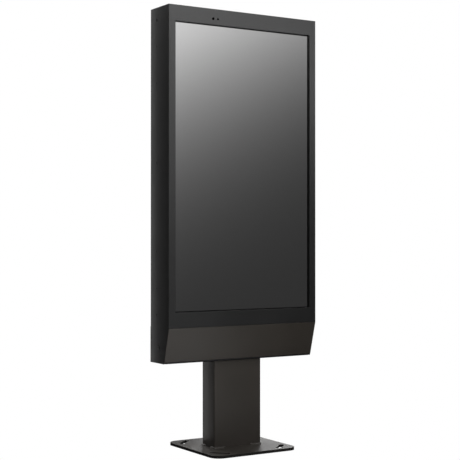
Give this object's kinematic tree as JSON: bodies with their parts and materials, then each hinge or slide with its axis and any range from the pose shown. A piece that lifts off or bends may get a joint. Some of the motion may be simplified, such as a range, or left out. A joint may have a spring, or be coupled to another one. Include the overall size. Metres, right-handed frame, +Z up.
{
  "type": "touchscreen kiosk",
  "caption": "Outdoor touchscreen kiosk: upright display head with rear service door and hinged lower front on a column with an anchored base plate.",
  "frame": {"origin": "centre of the base plate's underside", "axes": "+X to the right seen from the front, +Y to the back, +Z up"},
  "size_m": [0.7496, 0.418, 1.8845],
  "materials": {
    "head_paint": "fine satin black powder coat",
    "stand_paint": "fine satin black powder coat, slightly warm",
    "zinc_steel": "zinc plated, satin",
    "black_screw": "black zinc, satin",
    "hinge_steel": "black passivated, satin",
    "rubber_black": "matt",
    "clear_glass": "polished",
    "touch_film": "clear film",
    "screen": "polarizer, even sheen",
    "module_black": "matt black",
    "module_metal": "satin",
    "circuit_board": "solder mask",
    "sensor_window": "polished, infrared clear",
    "psu_case": "brushed",
    "player_case": "black anodised",
    "light_grey_plastic": "moulded",
    "lever_plastic": "moulded",
    "terminal_plastic": "moulded",
    "lead_jacket": "semi matt",
    "fan_plastic": "moulded",
    "filter_foam": "open foam",
    "lock_metal": "dark nickel, satin"
  },
  "bodies": {
    "kiosk": {"base_plate": "stand_paint", "column_tube": "stand_paint", "foot_welds": "stand_paint", "column_cap_plate": "zinc_steel", "column_bolts": "zinc_steel", "cable_bushes": "rubber_black", "foot_plate": "zinc_steel", "uprights": "zinc_steel", "crossmembers": "zinc_steel", "side_rails": "zinc_steel", "equipment_panel": "zinc_steel", "front_bezel": "head_paint", "left_side_panel": "head_paint", "right_side_panel": "head_paint", "top_panel": "head_paint", "bottom_panel": "head_paint", "rear_frame": "head_paint", "lower_rear_cover": "head_paint", "side_screws": "black_screw", "cover_screws": "black_screw", "door_gasket": "rubber_black", "glass_gasket": "rubber_black", "cover_glass": "clear_glass", "touch_sensor": "touch_film", "lcd_frame": "module_black", "lcd_cell": "screen", "lcd_backlight": "module_metal", "lcd_boards": "circuit_board", "display_rails": "zinc_steel", "glass_clamps": "zinc_steel", "sensor_windows": "sensor_window", "power_supply": "psu_case", "media_player": "player_case", "din_rail": "zinc_steel", "breaker": "light_grey_plastic", "terminal_blocks": "terminal_plastic", "power_lead": "lead_jacket", "rear_hinge_frame_leaves": "head_paint", "rear_hinge_pins": "hinge_steel", "chin_hinge_fixed_leaf": "hinge_steel", "chin_hinge_pin": "hinge_steel", "chin_lock_barrel": "lock_metal"},
    "rear_door": {"rear_door_panel": "head_paint", "door_stiffeners": "zinc_steel", "rear_hinge_door_leaves": "head_paint", "fan_frames": "fan_plastic", "air_filters": "filter_foam", "rear_lock_barrels": "lock_metal"},
    "upper_lock": {"upper_lock_plug": "lock_metal", "upper_lock_cam": "zinc_steel"},
    "lower_lock": {"lower_lock_plug": "lock_metal", "lower_lock_cam": "zinc_steel"},
    "left_fan": {"left_fan_rotor": "fan_plastic"},
    "right_fan": {"right_fan_rotor": "fan_plastic"},
    "chin_door": {"chin_panel": "stand_paint", "chin_hinge_door_leaf": "hinge_steel", "chin_latch_strap": "zinc_steel"},
    "chin_lock": {"chin_lock_plug": "lock_metal", "chin_lock_cam": "zinc_steel"},
    "breaker_switch": {"breaker_lever": "lever_plastic"}
  },
  "joints": [
    {"name": "rear_door_hinge", "type": "hinge", "parent": "kiosk", "child": "rear_door", "pos_m": [0.3455, 0.0551, 1.2115], "axis": [0, 0, -1], "range_deg": [0, 115]},
    {"name": "upper_lock_turn", "type": "hinge", "parent": "rear_door", "child": "upper_lock", "pos_m": [-0.318, 0.05, 1.5225], "axis": [0, -1, 0], "range_deg": [0, 90]},
    {"name": "lower_lock_turn", "type": "hinge", "parent": "rear_door", "child": "lower_lock", "pos_m": [-0.318, 0.05, 0.9005], "axis": [0, -1, 0], "range_deg": [0, 90]},
    {"name": "left_fan_spin", "type": "hinge", "parent": "rear_door", "child": "left_fan", "pos_m": [-0.14, 0.0315, 1.76], "axis": [0, 1, 0], "continuous": true},
    {"name": "right_fan_spin", "type": "hinge", "parent": "rear_door", "child": "right_fan", "pos_m": [0.14, 0.0315, 1.76], "axis": [0, 1, 0], "continuous": true},
    {"name": "chin_door_hinge", "type": "hinge", "parent": "kiosk", "child": "chin_door", "pos_m": [0, -0.06594, 0.3925], "axis": [1, 0, 0], "range_deg": [0, 90]},
    {"name": "chin_lock_turn", "type": "hinge", "parent": "kiosk", "child": "chin_lock", "pos_m": [-0.3735, -0.0195, 0.455], "axis": [1, 0, 0], "range_deg": [0, 180]},
    {"name": "breaker_throw", "type": "hinge", "parent": "kiosk", "child": "breaker_switch", "pos_m": [-0.052, -0.07, 0.473], "axis": [1, 0, 0], "range_deg": [0, 60]}
  ]
}
